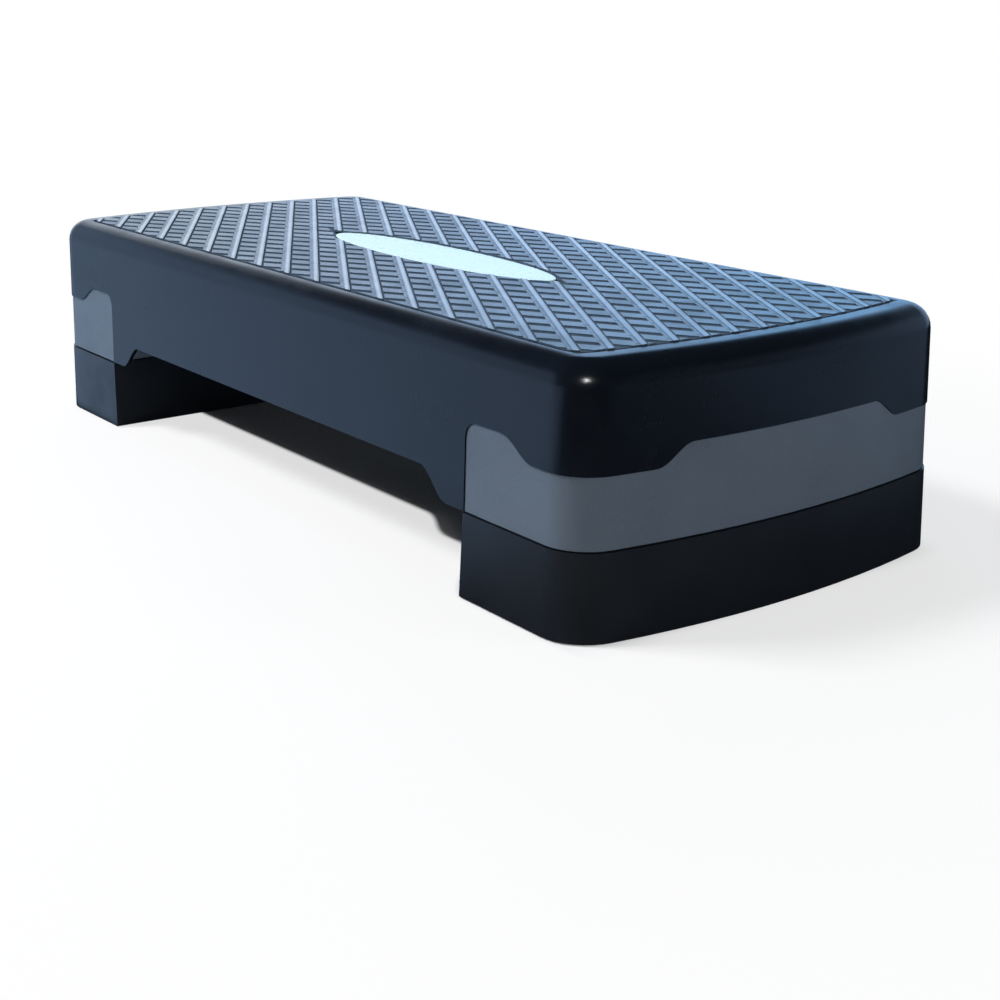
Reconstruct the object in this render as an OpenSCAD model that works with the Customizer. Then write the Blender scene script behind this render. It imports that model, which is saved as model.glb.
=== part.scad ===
// Aerobic step platform: a wave-edged deck shell on two end blocks, with two lift-off foot risers.
// X runs along the platform, Y across it, Z up. The origin is on the floor, under the middle.

/* [Overall] */
// Length over both bulged ends, at the floor
length = 680; // [600:10:900]
// Width over the long sides, at the floor
width = 290; // [260:5:360]
// Height of one foot riser
foot_h = 50; // [40:1:80]
// Height of the deck on its end blocks, without the foot risers
deck_unit_h = 100; // [85:1:130]
// How far each end bulges beyond a straight line
end_bulge = 16; // [8:1:24]
// Radius of the upright corners at the floor
corner_r = 30; // [28:1:40]
// Draft of all outer walls, in degrees
draft = 2; // [1:0.25:2.5]

/* [Deck] */
// Wall and top thickness of the deck
deck_wall = 3; // [2.5:0.5:4]
// Radius of the rounded top edge
top_r = 15; // [10:1:18]
// Height of the skirt's lower edge below the deck top
skirt_h = 58.7; // [45:1:65]
// Height of the arch's crown below the deck top
arch_drop = 81; // [70:1:90]
// Distance from the end block's inner face to the crown of the arch
arch_in = 43; // [30:1:90]
// Length of the arch's S-shaped flank
arch_run = 26; // [18:1:40]
// Depth of the ribs under the deck
deck_rib_h = 22; // [12:1:30]
// Spacing of the cross ribs under the deck
deck_rib_pitch = 75; // [60:1:110]
// Long ribs under the deck on each side of the middle one
long_ribs = 2; // [1:1:3]

/* [Tread] */
// Distance from the long side to the edge groove
field_side = 22.5; // [20:0.5:30]
// Distance from the bulged end to the edge groove
field_end = 29; // [24:0.5:40]
// Corner radius of the tread field
field_r = 13; // [8:1:18]
// Width of the edge groove
groove_w = 1.8; // [1:0.1:3]
// Depth of the edge groove
groove_d = 1; // [0.5:0.1:1.5]
// Spacing of the diagonal tread bars, measured square to them
bar_pitch = 18.6; // [12:0.2:30]
// Width of a tread bar
bar_w = 3.6; // [2:0.1:6]
// Height of a tread bar above the deck
bar_h = 0.8; // [0.4:0.1:1.5]
// Angle of the tread bars to the long side, in degrees
bar_angle = 30.5; // [20:0.5:45]

/* [Badge] */
// Length of the oval badge
badge_l = 252; // [180:1:280]
// Width of the oval badge
badge_w = 54; // [40:1:70]
// Thickness of the badge, which is also the depth of its recess
badge_t = 1; // [0.6:0.1:1.5]
// Gap round the badge in its recess
badge_gap = 0.4; // [0.2:0.1:0.8]
// Length of the recess from point to point
recess_l = 276; // [262:1:300]

/* [End blocks] */
// Wall thickness of the end blocks and the foot risers
block_wall = 3; // [2.5:0.5:4]
// Length of an end block, from its bulge to its inner face
block_l = 111; // [95:1:125]
// How far the end block's outer face lies inside the deck's
block_step = 0.8; // [0:0.1:1.5]
// Height of the wave tabs above the skirt's lower edge
wave_h = 11.8; // [6:0.5:16]
// Length of the level top of the wave tab on the long side
wave_top = 31; // [20:1:45]
// Length of the S-shaped flank of the wave on the long side
wave_run = 28; // [16:1:36]
// Radius of the wave tab's inner corner
wave_corner_r = 9; // [4:0.5:11]
// Half the level top of the wave tab on the end
end_wave_half = 70; // [40:1:80]
// Length of the S-shaped flank of the wave on the end
end_wave_run = 24; // [14:1:30]
// Width of the seam between the deck's skirt and the end block
seam = 0.3; // [0.2:0.1:0.6]

/* [Foot risers] */
// Length of a foot riser at the floor, from its bulge to its inner face
foot_l = 113.5; // [96:0.5:128]
// Thickness of the ribs in the end blocks and foot risers
rib_t = 2.5; // [2:0.25:4]
// Outer diameter of a locating peg
peg_d = 20; // [14:1:26]
// Height of a locating peg above the foot riser
peg_h = 20; // [12:1:28]
// Clearance all round a peg in its socket
peg_gap = 0.4; // [0.3:0.1:1]

/* [Rubber pads] */
// Diameter of a rubber pad
pad_d = 22; // [16:1:26]
// How far a pad stands out below the wall round it
pad_proud = 0.8; // [0.5:0.1:2]
// How deep a pad sits in its seat
pad_sunk = 3; // [2:0.5:5]
// Gap between the end block's pads and the foot riser's top
stack_gap = 0.2; // [0.2:0.1:0.5]

/* [Fasteners] */
// Diameter of the screw's shank
screw_d = 4; // [3:0.5:5]
// Length of the screw under its head
screw_l = 16; // [12:1:25]
// Diameter of the screw's head
screw_head_d = 8.4; // [7:0.2:10]
// Height of the screw's head
screw_head_h = 2.8; // [2:0.1:4]
// Outer diameter of the deck's screw boss
boss_d = 10; // [9:0.5:14]

/* [Hidden] */
$fn = 64;
// Steps of an upright corner, of a bulged end, of the deck's rounded edge and of an S-shaped flank
corner_n = 8;
end_n = 12;
edge_n = 7;
flank_n = 12;
// Small overlap that joins solids of one moulding
eps = 0.5;
// How far a cutter runs past what it cuts
past = 20;
half_l = length / 2;
half_w = width / 2;
end_r = (half_w * half_w + end_bulge * end_bulge) / (2 * end_bulge);
// Distances from the middle to the inner faces of the end block and foot riser, and to the arch's flank
block_in = half_l - block_l;
foot_in = half_l - foot_l;
arch_half = block_in - arch_in;
// Levels, from the floor up
foot_wall_z = pad_proud;
block_pad_z = foot_h + stack_gap;
block_wall_z = block_pad_z + pad_proud;
deck_top = foot_h + deck_unit_h - bar_h;
deck_under = deck_top - deck_wall;
skirt_z = deck_top - skirt_h;
arch_z = deck_top - arch_drop;
block_top = skirt_z - seam;
wave_z = block_top + wave_h;
// The plate that closes the end block, just below the skirt's edge
plate_top = block_top - block_wall;
plate_z = plate_top - block_wall;
// Centre of the right end's arc, and of the corner next to it
end_c = half_l - end_r;
corner_y = half_w - corner_r;
corner_x = end_c + sqrt(pow(end_r - corner_r, 2) - corner_y * corner_y);
// Centre of the rounded top edge, as distance in from the outline and height
edge_z = deck_top - top_r;
edge_d = top_r / cos(draft) + edge_z * tan(draft);
// Rows of posts in each end, one near its inner face and one near its outer face
post_x = [block_in + pad_d / 2 + 14, corner_x + 4];
// Pads stand near the long sides, and the pegs' share of the way out to the corners leaves room between
pad_y = corner_y - 9;
peg_y = 0.43 * corner_y;
screw_x = (post_x[0] + post_x[1]) / 2;
screw_y = [(pad_y + peg_y) / 2, peg_y / 2];
// Clearance all round a screw's shank and a rubber pad
screw_gap = 0.3;
pad_gap = 0.2;
// Taper of a peg's tip
peg_tip = 1.5;

// Distance that a drafted outer face has moved in at height z
function inset(z) = z * tan(draft);

// Points of a flank that rises by h over a length, half a cosine wave
function flank(x, run, z, h) =
    [for (i = [0:flank_n]) [x + run * i / flank_n, z + h * (1 - cos(180 * i / flank_n)) / 2]];

// Points of a round about a centre, turning from angle a by the angle turn in n steps
function arc(c, r, a, turn, n) =
    [for (i = [0:n]) [c[0] + r * cos(a + turn * i / n), c[1] + r * sin(a + turn * i / n)]];

// Right end of an outline of half-length a and half-width b, from one long side to the other
function end_points(a, b, re, rc) =
    let (
        ec = a - re,
        cy = b - rc,
        cx = ec + sqrt(pow(re - rc, 2) - cy * cy),
        phi = atan2(cy, cx - ec),
        bulge = arc([ec, 0], re, -phi, 2 * phi, end_n)
    )
    concat(
        arc([cx, -cy], rc, -90, 90 - phi, corner_n),
        [for (i = [1:end_n - 1]) bulge[i]],
        arc([cx, cy], rc, phi, 90 - phi, corner_n)
    );

// Whole outline: the right end and the same end turned half round
function ring_points(a, b, re, rc) =
    let (e = end_points(a, b, re, rc))
    concat(e, [for (p = e) -p]);

// Main outline moved in by d, whole or cut off at the distance x from the middle
function ring_in(d) = ring_points(half_l - d, half_w - d, end_r - d, corner_r - d);
function end_in(x, d) =
    concat([[x, d - half_w]], end_points(half_l - d, half_w - d, end_r - d, corner_r - d), [[x, half_w - d]]);

// Solid through a stack of rings with as many points each, at their heights
module loft(rings, heights) {
    n = len(rings[0]);
    top = len(rings) - 1;
    polyhedron(
        points = [for (k = [0:top], p = rings[k]) [p[0], p[1], heights[k]]],
        faces = concat(
            [[for (i = [0:n - 1]) i]],
            [[for (i = [n - 1:-1:0]) top * n + i]],
            [for (k = [0:top - 1], i = [0:n - 1])
                [k * n + i, (k + 1) * n + i, (k + 1) * n + (i + 1) % n, k * n + (i + 1) % n]]
        ),
        convexity = 4
    );
}

// Drafted solid of the right end, moved in by d; its inner face at x slants by face_draft times the draft
module end_solid(x, d, z0, z1, face_draft) {
    loft(
        [for (z = [z0, z1]) end_in(x + face_draft * inset(z), d + inset(z))],
        [z0, z1]
    );
}

// Points of the rounded top edge at radius r, as distance in from the outline and height
function edge_round(r) = arc([edge_d, edge_z], r, 180 - draft, draft - 90, edge_n);

// Solid of the deck's outside or inside, t in from its skin, down to height z
module deck_solid(t, z) {
    line = concat([[inset(z) + t / cos(draft), z]], edge_round(top_r - t));
    loft([for (p = line) ring_in(p[0])], [for (p = line) p[1]]);
}

// Upper edge of the end block on the long side, from its inner face outwards, grown by g
function wave_line(g) = concat(
    arc([block_in + wave_corner_r, wave_z - wave_corner_r], wave_corner_r + g, 180, -90, 6),
    flank(block_in + wave_top, wave_run, wave_z + g, -wave_h),
    [[half_l + past, block_top + g]]
);

// Lower edge of the deck on the long side, from the middle outwards
function skirt_line() = concat(
    [[0, arch_z]],
    flank(arch_half, arch_run, arch_z, block_wall_z - arch_z),
    [[block_in - seam, block_wall_z]],
    wave_line(seam)
);

// Upper edge of the end block on the end, from one side to the other, raised by g
function end_wave_line(g) = concat(
    [[-half_w - past, block_top + g]],
    flank(-end_wave_half - end_wave_run, end_wave_run, block_top + g, wave_h),
    flank(end_wave_half, end_wave_run, wave_z + g, -wave_h),
    [[half_w + past, block_top + g]]
);

// Area between a line of points in a view and the level z
module area_to(line, z) {
    polygon(concat(line, [[line[len(line) - 1][0], z], [line[0][0], z]]));
}

// Prism of a side view area, over both long sides
module along_sides() {
    for (t = [0, 1])
        mirror([0, t, 0])
            translate([0, half_w + past, 0])
                rotate([90, 0, 0])
                    linear_extrude(half_w + past - corner_y)
                        children();
}

// Prism of an end view area, over the middle of the right end
module along_end() {
    translate([corner_x - 10, 0, 0])
        rotate([90, 0, 90])
            linear_extrude(half_l + past - corner_x)
                intersection() {
                    children();
                    translate([-corner_y - eps, -past])
                        square([2 * (corner_y + eps), deck_top + 2 * past]);
                }
}

module both_halves() {
    for (s = [0, 1])
        mirror([s, 0])
            children();
}

module both_ends() {
    for (s = [0, 1])
        mirror([s, 0, 0])
            children();
}

// Outline of half a rib under the deck, where reach gives its end for a distance in from the outline
module rib_shape(reach) {
    polygon(concat(
        [for (i = [0:len(rib_edge) - 1]) [reach[i], rib_edge[i][1]]],
        [[0, deck_under + deck_wall / 2], [0, deck_under - deck_rib_h]]
    ));
}

// A rib's end, from its lower corner up the middle of the wall and over the rounded edge
rib_edge = concat(
    [[inset(deck_under - deck_rib_h) + deck_wall / 2, deck_under - deck_rib_h]],
    edge_round(top_r - deck_wall / 2)
);

module deck_ribs() {
    for (i = [-long_ribs:long_ribs], s = [0, 1]) {
        y = i * half_w / (long_ribs + 1);
        mirror([s, 0, 0])
            translate([0, y + rib_t / 2, 0])
                rotate([90, 0, 0])
                    linear_extrude(rib_t)
                        rib_shape([for (p = rib_edge) end_c + sqrt(pow(end_r - p[0], 2) - y * y)]);
    }
    cross_n = floor(corner_x / deck_rib_pitch);
    for (i = [-cross_n:cross_n], s = [0, 1])
        mirror([0, s, 0])
            translate([i * deck_rib_pitch - rib_t / 2, 0, 0])
                rotate([90, 0, 90])
                    linear_extrude(rib_t)
                        rib_shape([for (p = rib_edge) half_w - p[0]]);
}

module screw_places() {
    for (y = [-screw_y[0], -screw_y[1], screw_y[1], screw_y[0]])
        translate([screw_x, y, 0])
            children();
}

// Posts of one end that stand the distance y from its middle line
module post_places(y) {
    for (x = post_x, t = [-1, 1])
        translate([x, t * y, 0])
            children();
}

module screw_bosses() {
    both_ends()
        screw_places()
            translate([0, 0, plate_top])
                difference() {
                    cylinder(h = deck_under - plate_top + eps, d = boss_d);
                    translate([0, 0, -1])
                        cylinder(h = screw_l + 1, d = screw_d + 2 * screw_gap);
                }
}

// Field of the tread, grown by g
module tread_field(g) {
    polygon(ring_points(half_l - field_end + g, half_w - field_side + g, end_r - field_end + g, field_r + g));
}

module badge_shape(g) {
    polygon([for (a = [0:5:355]) [(badge_l / 2 + g) * cos(a), (badge_w / 2 + g) * sin(a)]]);
}

// Lens of two large arcs, from point to point
module lens(l, h) {
    r = (l * l / 4 + h * h) / (2 * h);
    a = asin(l / 2 / r);
    for (t = [0, 1])
        mirror([0, t])
            polygon(arc([0, h - r], r, 90 - a, 2 * a, 24));
}

module tread_bars() {
    n = ceil((half_l * sin(bar_angle) + half_w * cos(bar_angle)) / bar_pitch);
    translate([0, 0, deck_top - eps])
        linear_extrude(eps + bar_h)
            difference() {
                intersection() {
                    tread_field(0);
                    for (i = [-n:n - 1])
                        rotate([0, 0, -bar_angle])
                            translate([0, (i + 0.5) * bar_pitch])
                                square([2 * length, bar_w], center = true);
                }
                badge_shape(badge_gap + bar_w / 2);
                lens(recess_l + 2 * bar_w, badge_w / 2);
            }
}

module deck() {
    color("#2b323c")
        union() {
            difference() {
                deck_solid(0, block_wall_z);
                deck_solid(deck_wall, block_wall_z - 1);
                along_sides()
                    both_halves()
                        area_to(skirt_line(), -past);
                both_ends()
                    along_end()
                        area_to(end_wave_line(seam), -past);
                translate([0, 0, deck_top - groove_d])
                    linear_extrude(groove_d + 1)
                        difference() {
                            tread_field(groove_w);
                            tread_field(0);
                        }
                translate([0, 0, deck_top - badge_t])
                    linear_extrude(badge_t + 1) {
                        badge_shape(badge_gap);
                        lens(recess_l, badge_w / 2 - 1);
                    }
            }
            deck_ribs();
            screw_bosses();
            tread_bars();
        }
}

module badge() {
    color("#dff5f2")
        translate([0, 0, deck_top - badge_t])
            linear_extrude(badge_t)
                badge_shape(0);
}

// Reach of a rib to the middle of the wall, along Y at a given x and along X at a given y
function y_reach(x, d) =
    x < corner_x ? half_w - d : corner_y + sqrt(pow(corner_r - d, 2) - pow(x - corner_x, 2));
function x_reach(y, d) = end_c + sqrt(pow(end_r - d, 2) - y * y);

// Ribs of an end block or foot riser through its posts, between heights z0 and z1
module post_ribs(x_in, step, z0, z1) {
    d = inset(z1) + step + block_wall / 2;
    for (x = post_x)
        translate([x - rib_t / 2, -y_reach(x + rib_t / 2, d), z0])
            cube([rib_t, 2 * y_reach(x + rib_t / 2, d), z1 - z0]);
    for (y = [-pad_y, -peg_y, peg_y, pad_y])
        translate([x_in, y - rib_t / 2, z0])
            cube([x_reach(y, d) - x_in, rib_t, z1 - z0]);
}

// Boss that seats a rubber pad, and its recess, with the lower edge at height z
module pad_seat(z) {
    translate([0, 0, z])
        cylinder(h = pad_sunk + block_wall, d = pad_d + 2 * block_wall);
}

module pad_recess(z) {
    translate([0, 0, z - 1])
        cylinder(h = pad_sunk + 1, d = pad_d + 2 * pad_gap);
}

// Rubber pad with a bevelled tread, its lower face at height z
module pad(z) {
    bevel = 1;
    color("#17191c")
        translate([0, 0, z])
            union() {
                cylinder(h = bevel, d1 = pad_d - 2 * bevel, d2 = pad_d);
                translate([0, 0, bevel])
                    cylinder(h = pad_proud + pad_sunk - bevel, d = pad_d);
            }
}

module pad_at(i, z) {
    translate([post_x[i % 2], i < 2 ? -pad_y : pad_y, 0])
        pad(z);
}

module end_block() {
    socket_d = peg_d + 2 * peg_gap;
    color("#66727f")
        difference() {
            union() {
                difference() {
                    end_solid(block_in, block_step, block_wall_z, wave_z, 0);
                    end_solid(block_in + block_wall, block_step + block_wall, block_wall_z - 1, plate_z, 0);
                    end_solid(block_in - past, block_step + block_wall, plate_top, wave_z + 1, 0);
                    along_sides()
                        area_to(wave_line(0), deck_top);
                    along_end()
                        area_to(end_wave_line(0), deck_top);
                }
                post_ribs(block_in + block_wall / 2, block_step, block_wall_z + pad_sunk, plate_z + eps);
                post_places(pad_y)
                    pad_seat(block_wall_z);
                post_places(peg_y)
                    translate([0, 0, block_wall_z])
                        cylinder(h = plate_z + eps - block_wall_z, d = socket_d + 2 * rib_t);
            }
            post_places(peg_y)
                translate([0, 0, block_wall_z - 1])
                    cylinder(h = plate_z - block_wall_z + 1, d = socket_d);
            post_places(pad_y)
                pad_recess(block_wall_z);
            screw_places()
                translate([0, 0, plate_z - 1])
                    cylinder(h = block_wall + 2, d = screw_d + 2 * screw_gap);
        }
}

module block_screws() {
    color("#9aa0a6")
        screw_places()
            union() {
                translate([0, 0, plate_z - screw_head_h])
                    cylinder(h = screw_head_h, d1 = screw_head_d - 2, d2 = screw_head_d);
                translate([0, 0, plate_z - screw_head_h / 2])
                    cylinder(h = screw_l + screw_head_h / 2, d = screw_d);
            }
}

module foot_riser() {
    color("#242a31")
        difference() {
            union() {
                difference() {
                    end_solid(foot_in, 0, foot_wall_z, foot_h, 1);
                    end_solid(foot_in + block_wall, block_wall, foot_wall_z - 1, foot_h - block_wall, 1);
                }
                post_ribs(foot_in + inset(foot_h), 0, foot_wall_z + pad_sunk, foot_h - block_wall + eps);
                post_places(pad_y)
                    pad_seat(foot_wall_z);
                post_places(peg_y) {
                    translate([0, 0, foot_wall_z + pad_sunk])
                        cylinder(h = foot_h + peg_h - peg_tip - foot_wall_z - pad_sunk, d = peg_d);
                    translate([0, 0, foot_h + peg_h - peg_tip])
                        cylinder(h = peg_tip, d1 = peg_d, d2 = peg_d - 2 * peg_tip);
                }
            }
            post_places(peg_y)
                cylinder(h = foot_h + peg_h - block_wall, d = peg_d - 2 * rib_t);
            post_places(pad_y)
                pad_recess(foot_wall_z);
        }
}

// The right end as drawn, or its mirror image for the left end
module on_side(s) {
    mirror([s == "left" ? 1 : 0, 0, 0])
        children();
}

deck();
badge();
for (s = ["left", "right"]) {
    on_side(s) end_block();
    on_side(s) block_screws();
    on_side(s) foot_riser();
    for (i = [0:3]) {
        on_side(s) pad_at(i, block_pad_z);
        on_side(s) pad_at(i, 0);
    }
}
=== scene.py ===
"""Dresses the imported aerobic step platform: tread tiles, badge face, threaded screws, ringed rubber pads,
moulded plastic finishes, and a pale studio with the camera at the photograph's view.

Lengths inside the functions are metres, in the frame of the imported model.
"""

import math

import bmesh
import bpy
from bpy.props import FloatProperty, FloatVectorProperty, IntProperty, PointerProperty
from mathutils import Matrix, Vector


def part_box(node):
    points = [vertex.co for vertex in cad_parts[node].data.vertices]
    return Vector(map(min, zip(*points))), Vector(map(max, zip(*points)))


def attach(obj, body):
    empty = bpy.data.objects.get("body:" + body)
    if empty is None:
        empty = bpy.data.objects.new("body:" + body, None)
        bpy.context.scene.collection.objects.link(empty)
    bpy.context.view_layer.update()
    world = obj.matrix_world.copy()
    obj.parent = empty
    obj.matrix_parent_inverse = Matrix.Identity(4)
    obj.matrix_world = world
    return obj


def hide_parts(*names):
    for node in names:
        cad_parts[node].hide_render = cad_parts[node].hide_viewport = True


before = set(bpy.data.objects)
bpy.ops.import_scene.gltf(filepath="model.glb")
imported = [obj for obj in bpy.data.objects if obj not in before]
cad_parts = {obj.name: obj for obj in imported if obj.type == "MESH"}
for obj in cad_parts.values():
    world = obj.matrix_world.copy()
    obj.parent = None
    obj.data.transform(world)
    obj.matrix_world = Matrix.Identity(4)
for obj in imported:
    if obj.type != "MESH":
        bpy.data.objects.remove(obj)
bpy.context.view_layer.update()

bl_info = {
    "name": "Aerobic step dressing",
    "version": (1, 0, 0),
    "blender": (4, 5, 0),
    "location": "View3D > Sidebar > Step",
    "description": "Finishes, tread tiles, badge, screws, pads and studio of an aerobic step platform",
    "category": "Object",
}

MM = 0.001
SIDES = ("left", "right")
PLATFORM = "platform"


def colour(name, default, description):
    """A colour that the user can change, in linear red, green and blue."""
    return FloatVectorProperty(
        name=name, description=description, subtype="COLOR", size=3, min=0.0, max=1.0, default=default
    )


def length(name, millimetres, description):
    """A length that the user can change, given here in millimetres."""
    return FloatProperty(
        name=name,
        description=description,
        subtype="DISTANCE",
        unit="LENGTH",
        min=0.0,
        max=1.0,
        default=millimetres * MM,
    )


def angle_setting(name, default, description):
    """An angle that the user can change, in radians."""
    return FloatProperty(name=name, description=description, subtype="ANGLE", default=default)


def gloss_setting(name, default, description):
    """A roughness that the user can change, from mirror to matt."""
    return FloatProperty(name=name, description=description, default=default, min=0, max=1)


def power_setting(name, default, description):
    """A lamp's power that the user can change, in watts."""
    return FloatProperty(name=name, description=description, default=default, min=0, unit="POWER")


def strength_setting(name, default, description):
    """A brightness that the user can change."""
    return FloatProperty(name=name, description=description, default=default, min=0, max=5)


class StepTreadSettings(bpy.types.PropertyGroup):
    """Sizes of the raised tiles between the tread's bars"""

    bar_angle: FloatProperty(
        name="Bar angle",
        description="Angle of the tread bars to the long side",
        subtype="ANGLE",
        unit="ROTATION",
        default=math.radians(30.5),
    )
    bar_pitch: length("Bar pitch", 18.6, "Spacing of the bars, square to them")
    bar_width: length("Bar width", 3.6, "Width of a bar")
    tile_pitch: length("Tile pitch", 20.2, "Spacing of the tiles along a lane")
    tile_width: length("Tile width", 12.9, "Width of a tile along its lane")
    tile_offset: length("Tile offset", 16.1, "Place of the first row of tiles along the lanes")
    tile_height: length("Tile height", 0.6, "Height of a tile above the deck")
    lane_gap: length("Lane gap", 1.3, "Dark line between a bar and the tiles beside it")
    ledge_width: length("Ledge width", 2.2, "Width of the ledge that closes the pockets")
    field_side: length("Field side", 22.5, "Distance from the long side to the tread field")
    field_end: length("Field end", 29.0, "Distance from the bulged end to the tread field")
    field_radius: length("Field radius", 13.0, "Corner radius of the tread field")


class StepBodySettings(bpy.types.PropertyGroup):
    """Overall sizes that the dressed pieces follow"""

    length: length("Length", 680.0, "Length over the bulged ends, at the floor")
    width: length("Width", 290.0, "Width over the long sides, at the floor")
    end_bulge: length("End bulge", 16.0, "How far each end bulges beyond a straight line")
    edge_round: length("Edge rounding", 0.45, "Rounding of the moulded pieces' sharp edges")
    badge_length: length("Badge length", 252.0, "Length of the oval badge")
    badge_width: length("Badge width", 54.0, "Width of the oval badge")
    recess_length: length("Recess length", 276.0, "Length of the badge's recess from point to point")
    pad_rings: IntProperty(
        name="Pad rings", description="Grooves in a rubber pad's tread", default=3, min=1, max=5
    )
    thread_pitch: length("Thread pitch", 1.6, "Pitch of the screws' thread")


class StepFinishSettings(bpy.types.PropertyGroup):
    """Colours and gloss of the finishes"""

    deck: colour("Deck", (0.0045, 0.007, 0.0115), "Deck's moulded plastic")
    tread: colour("Tread", (0.060, 0.095, 0.140), "Tiles and floor of the tread")
    # Painted highlight: the pale colour of the bars' crests stands in for their gloss reflection.
    bar: colour("Bars", (0.33, 0.40, 0.49), "Worn tops of the tread's bars")
    block: colour("End blocks", (0.090, 0.116, 0.150), "Grey end blocks")
    foot: colour("Foot risers", (0.011, 0.014, 0.019), "Black foot risers")
    badge: colour("Badge", (0.62, 0.85, 0.87), "Badge's coated face")
    rubber: colour("Rubber", (0.012, 0.012, 0.013), "Pads under the blocks and feet")
    steel: colour("Steel", (0.55, 0.56, 0.58), "Zinc-plated screws")
    deck_gloss: gloss_setting("Deck roughness", 0.22, "Roughness of the deck")
    block_gloss: gloss_setting("Block roughness", 0.4, "Roughness of the end blocks")
    foot_gloss: gloss_setting("Foot roughness", 0.34, "Roughness of the foot risers")


class StepStageSettings(bpy.types.PropertyGroup):
    """Camera, lamps and floor of the studio"""

    lens: FloatProperty(
        name="Lens", description="Focal length in millimetres", default=58.06, min=10, max=300
    )
    yaw: angle_setting("Yaw", 0.9249, "Camera's turn about the vertical")
    pitch: angle_setting("Pitch", 0.3091, "Camera's tilt below level")
    roll: angle_setting("Roll", 0.0022, "Camera's roll")
    place: FloatVectorProperty(
        name="Camera place",
        description="Where the camera stands",
        subtype="XYZ",
        default=(0.91298, -0.63367, 0.32629),
    )
    front_power: power_setting("Front power", 98.0, "Power of the soft front lamp")
    key_power: power_setting("Key power", 2.5, "Power of the lamp above the camera")
    glint_power: power_setting("Glint power", 22.0, "Power of the glint's lamp")
    right_power: power_setting("Right power", 7.0, "Power of the soft lamp at the right")
    top_power: power_setting("Top power", 2.0, "Power of the soft lamp overhead")
    back_power: power_setting("Back power", 6.5, "Power of the lamp behind")
    window: colour("Window", (0.45, 0.66, 1.0), "Pale blue that the gloss reflects")
    window_strength: strength_setting("Window strength", 1.6, "Brightness of the reflected window")
    dark: colour("Dark", (0.005, 0.007, 0.010), "Dark of the room that the gloss reflects")
    sky: strength_setting("Sky strength", 0.12, "Soft light from all round")



# Node helpers


def socket(node, name):
    """Input of a node by its name."""
    return node.inputs[name]


class Finish:
    """Small builder for one material's nodes, with object coordinates in metres."""

    def __init__(self, name):
        self.material = bpy.data.materials.new(name)
        self.material.use_nodes = True
        self.tree = self.material.node_tree
        self.shader = self.tree.nodes["Principled BSDF"]
        self.place = self.node("ShaderNodeTexCoord").outputs["Object"]

    def node(self, kind, **settings):
        """A new node with its settings."""
        made = self.tree.nodes.new(kind)
        for key, value in settings.items():
            setattr(made, key, value)
        return made

    def join(self, out, into):
        """Links an output to an input."""
        self.tree.links.new(out, into)

    def maths(self, operation, a, b=None, c=None, clamp=False):
        """Result of a Math node; each input is a number or a socket."""
        made = self.node("ShaderNodeMath", operation=operation, use_clamp=clamp)
        for i, value in enumerate((a, b, c)):
            if value is None:
                continue
            if isinstance(value, (int, float)):
                made.inputs[i].default_value = value
            else:
                self.join(value, made.inputs[i])
        return made.outputs[0]

    def noise(self, scale, detail=3.0, roughness=0.5):
        """Noise over the object's coordinates."""
        made = self.node("ShaderNodeTexNoise")
        socket(made, "Scale").default_value = scale
        socket(made, "Detail").default_value = detail
        socket(made, "Roughness").default_value = roughness
        self.join(self.place, socket(made, "Vector"))
        return made.outputs["Fac"]

    def grain(self, scale):
        """Moulded grain: small cells with rounded tops."""
        made = self.node("ShaderNodeTexVoronoi", feature="SMOOTH_F1")
        socket(made, "Scale").default_value = scale
        self.join(self.place, socket(made, "Vector"))
        return made.outputs["Distance"]

    def span(self, value, low, high, out_low=0.0, out_high=1.0):
        """value taken from low..high to out_low..out_high, smoothly and within those limits."""
        made = self.node("ShaderNodeMapRange", interpolation_type="SMOOTHSTEP")
        for i, number in enumerate((low, high, out_low, out_high)):
            made.inputs[i + 1].default_value = number
        self.join(value, made.inputs[0])
        return made.outputs[0]

    def blend(self, factor, a, b):
        """Mix of two colours; each is a tuple or a socket, and the factor a socket."""
        made = self.node("ShaderNodeMix", data_type="RGBA")
        self.join(factor, made.inputs[0])
        for i, value in ((6, a), (7, b)):
            if isinstance(value, tuple):
                made.inputs[i].default_value = (*value, 1.0)
            else:
                self.join(value, made.inputs[i])
        return made.outputs[2]

    def axes(self):
        """The x, y and z of the object's coordinates."""
        made = self.node("ShaderNodeSeparateXYZ")
        self.join(self.place, made.inputs[0])
        return made.outputs

    def bump(self, height, depth, strength):
        """Bump of the given depth in metres."""
        made = self.node("ShaderNodeBump")
        socket(made, "Distance").default_value = depth
        socket(made, "Strength").default_value = strength
        self.join(height, socket(made, "Height"))
        return made.outputs[0]

    def use(self, base, roughness, normal):
        """Feeds the shader and returns the finished material."""
        self.join(base, socket(self.shader, "Base Color"))
        self.join(roughness, socket(self.shader, "Roughness"))
        self.join(normal, socket(self.shader, "Normal"))
        return self.material


def shade(rgb, factor):
    """A colour made darker or lighter."""
    return tuple(min(1.0, c * factor) for c in rgb)


PLASTIC_SPECULAR = 0.4
GRAIN_DEPTH = 0.00003  # of the moulded grain, in metres


def moulded_plastic(name, rgb, roughness):
    """Satin moulded plastic with fine grain, soft clouds in its colour and rubbed patches in its gloss."""
    f = Finish(name)
    socket(f.shader, "Specular IOR Level").default_value = PLASTIC_SPECULAR
    clouds = f.noise(9.0, 4.0)
    fine = f.noise(900.0, 2.0)
    base = f.blend(f.span(clouds, 0.3, 0.7), shade(rgb, 0.88), shade(rgb, 1.14))
    base = f.blend(f.span(fine, 0.35, 0.8, 0.0, 0.3), base, shade(rgb, 1.5))
    rubbed = f.noise(38.0, 5.0, 0.6)
    gloss = f.span(rubbed, 0.3, 0.75, roughness - 0.05, roughness + 0.07)
    return f, base, gloss, f.bump(f.grain(1400.0), GRAIN_DEPTH, 0.5)


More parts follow.
